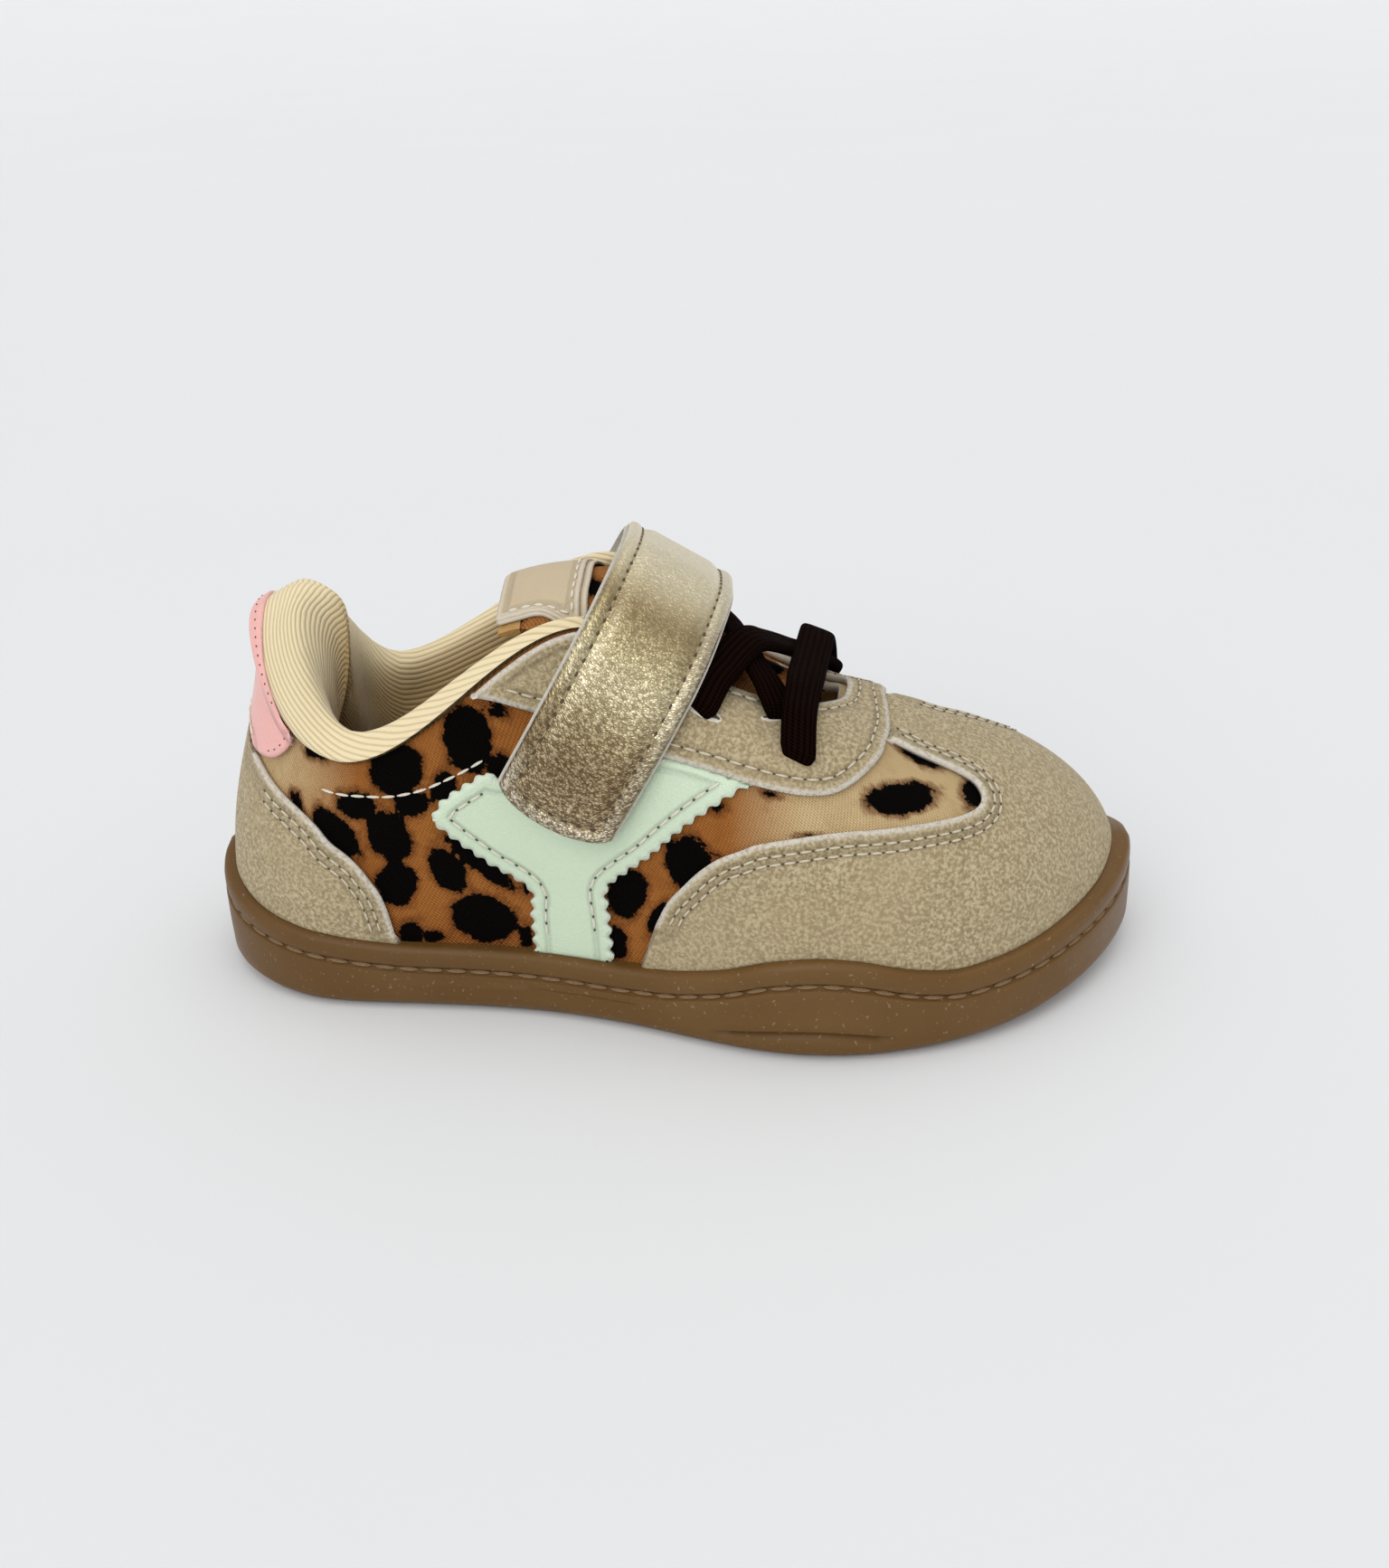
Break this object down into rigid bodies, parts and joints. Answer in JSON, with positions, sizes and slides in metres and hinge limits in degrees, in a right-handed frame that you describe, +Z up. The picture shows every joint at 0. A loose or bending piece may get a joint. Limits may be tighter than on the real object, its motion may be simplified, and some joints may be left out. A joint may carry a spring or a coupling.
{
  "type": "barefoot shoe",
  "caption": "Low child's barefoot shoe for the right foot, with a thin flexible cupsole, padded collar, elastic laces and a wide closing strap over the instep.",
  "frame": {"origin": "on the floor, under the middle of the shoe's bounding box", "axes": "+X from heel to toe, +Y towards the inner (left) side of this right shoe, +Z up; the outer side faces -Y"},
  "size_m": [0.165, 0.0706, 0.0781],
  "materials": {
    "gum_rubber": "semi-translucent brown gum rubber, satin",
    "leopard_cloth": "woven cloth with a dark spotted print, matt",
    "greige_suede": "napped suede leather, matt",
    "cream_twill": "ribbed twill over soft foam, matt",
    "pink_leather": "smooth pink leather, satin",
    "mint_leather": "smooth mint leather with pinked edges, satin",
    "gold_leather": "metallic gold crumple-grain leather",
    "tan_label": "smooth tan leather label",
    "brown_elastic": "flat woven elastic lace, matt",
    "tan_footbed": "thin cloth-covered foam footbed, matt"
  },
  "bodies": {
    "root": {"outsole": "gum_rubber", "insole": "tan_footbed", "upper": "leopard_cloth", "toe_overlay": "greige_suede", "heel_counter": "greige_suede", "heel_tab": "pink_leather", "eyestay": "greige_suede", "side_panel_outer": "mint_leather", "side_panel_inner": "mint_leather", "collar_padding": "cream_twill", "tongue": "leopard_cloth", "tongue_label": "tan_label", "lace_crossing": "brown_elastic", "lace_bar": "brown_elastic", "strap": "gold_leather"}
  },
  "joints": []
}
